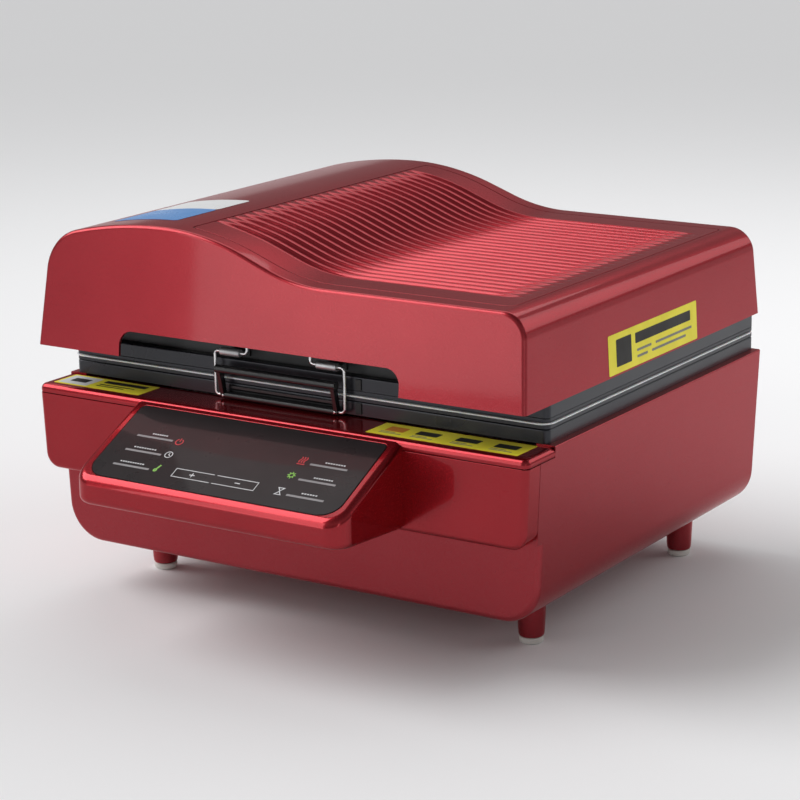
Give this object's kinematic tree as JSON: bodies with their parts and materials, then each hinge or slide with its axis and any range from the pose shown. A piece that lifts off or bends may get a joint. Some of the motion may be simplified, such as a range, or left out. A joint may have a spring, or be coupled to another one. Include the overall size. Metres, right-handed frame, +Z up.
{
  "type": "vacuum sublimation heat press",
  "caption": "Bench heat press with a vacuum well, hinged silicone membrane and hinged heating lid with a ribbed wave top, wire latch and sloping touch console.",
  "frame": {"origin": "on the floor under the centre of the machine's outline", "axes": "+Z up, -Y towards the operator, +X to the operator's right"},
  "size_m": [0.564, 0.5945, 0.385],
  "materials": {
    "red_sheet": "metallic wine red stove enamel",
    "red_moulding": "metallic wine red gloss",
    "pale_rubber": "matte",
    "black_glass": "gloss black",
    "circuit_board": "lacquered board",
    "black_frame": "black coated",
    "black_box": "heat-proof black",
    "seal_rubber": "matte",
    "silicone": "translucent pale",
    "bare_aluminium": "satin",
    "bright_reflector": "polished",
    "brass_fitting": "turned",
    "pump_metal": "cast grey",
    "black_plastic": "fine grain",
    "quartz": "clear",
    "ceramic": "unglazed",
    "zinc_steel": "zinc plated",
    "blanket": "fibre felt",
    "bright_steel": "nickel plated",
    "black_lever": "satin black"
  },
  "bodies": {
    "base": {"base_shell": "red_sheet", "front_housing": "red_moulding", "ledge_cap": "red_moulding", "rear_panel": "red_sheet", "feet": "red_sheet", "foot_tips": "pale_rubber", "console_housing": "red_moulding", "touch_panel": "black_glass", "display_board": "circuit_board", "lower_frame": "black_frame", "base_gasket": "seal_rubber", "vacuum_tray": "bare_aluminium", "platen": "bare_aluminium", "vacuum_port": "brass_fitting", "vacuum_pump": "pump_metal", "pump_hose": "silicone", "release_valve": "pump_metal", "control_board": "circuit_board", "power_module": "bare_aluminium", "mains_inlet": "black_plastic", "switch_body": "black_plastic", "fuse_holder": "black_plastic", "fan_frame": "black_plastic", "catch_bracket": "black_lever", "hinge_base_leaves": "zinc_steel", "hinge_pins": "bright_steel"},
    "power_rocker": {"power_rocker": "black_plastic"},
    "fan_rotor": {"fan_rotor": "black_plastic"},
    "membrane": {"membrane_frame": "black_frame", "silicone_membrane": "silicone", "membrane_clamp": "black_frame", "hinge_membrane_leaves": "zinc_steel"},
    "lid": {"lid_shell": "red_moulding", "top_cover": "red_moulding", "heating_box": "black_box", "reflector": "bright_reflector", "heater_tubes": "quartz", "heater_caps": "ceramic", "heater_rails": "zinc_steel", "heater_guard": "zinc_steel", "insulation": "blanket", "temperature_probe": "bright_steel", "lid_frame": "black_frame", "lid_brackets": "black_frame", "latch_barrels": "bright_steel", "hinge_lid_leaves": "zinc_steel"},
    "latch_wires": {"latch_wires": "bright_steel"},
    "latch_lever": {"latch_lever": "black_lever"}
  },
  "joints": [
    {"name": "lid_hinge", "type": "hinge", "parent": "base", "child": "lid", "pos_m": [0, 0.29175, 0.236], "axis": [-1, 0, 0], "range_deg": [0, 80]},
    {"name": "membrane_hinge", "type": "hinge", "parent": "base", "child": "membrane", "pos_m": [0, 0.29175, 0.236], "axis": [-1, 0, 0], "range_deg": [0, 40]},
    {"name": "wire_swing", "type": "hinge", "parent": "lid", "child": "latch_wires", "pos_m": [-0.0165, -0.15125, 0.263], "axis": [-1, 0, 0], "range_deg": [0, 40]},
    {"name": "lever_pivot", "type": "hinge", "parent": "latch_wires", "child": "latch_lever", "pos_m": [-0.0165, -0.15125, 0.2195], "axis": [1, 0, 0], "range_deg": [0, 70]},
    {"name": "rocker_switch", "type": "hinge", "parent": "base", "child": "power_rocker", "pos_m": [-0.15, 0.28175, 0.12], "axis": [1, 0, 0], "range_deg": [0, 18]},
    {"name": "fan_spin", "type": "hinge", "parent": "base", "child": "fan_rotor", "pos_m": [0.15, 0.27165, 0.118], "axis": [0, 1, 0], "continuous": true}
  ],
  "couplings": [
    {"joint": "membrane_hinge", "follows": "lid_hinge", "ratio": 0.5}
  ]
}
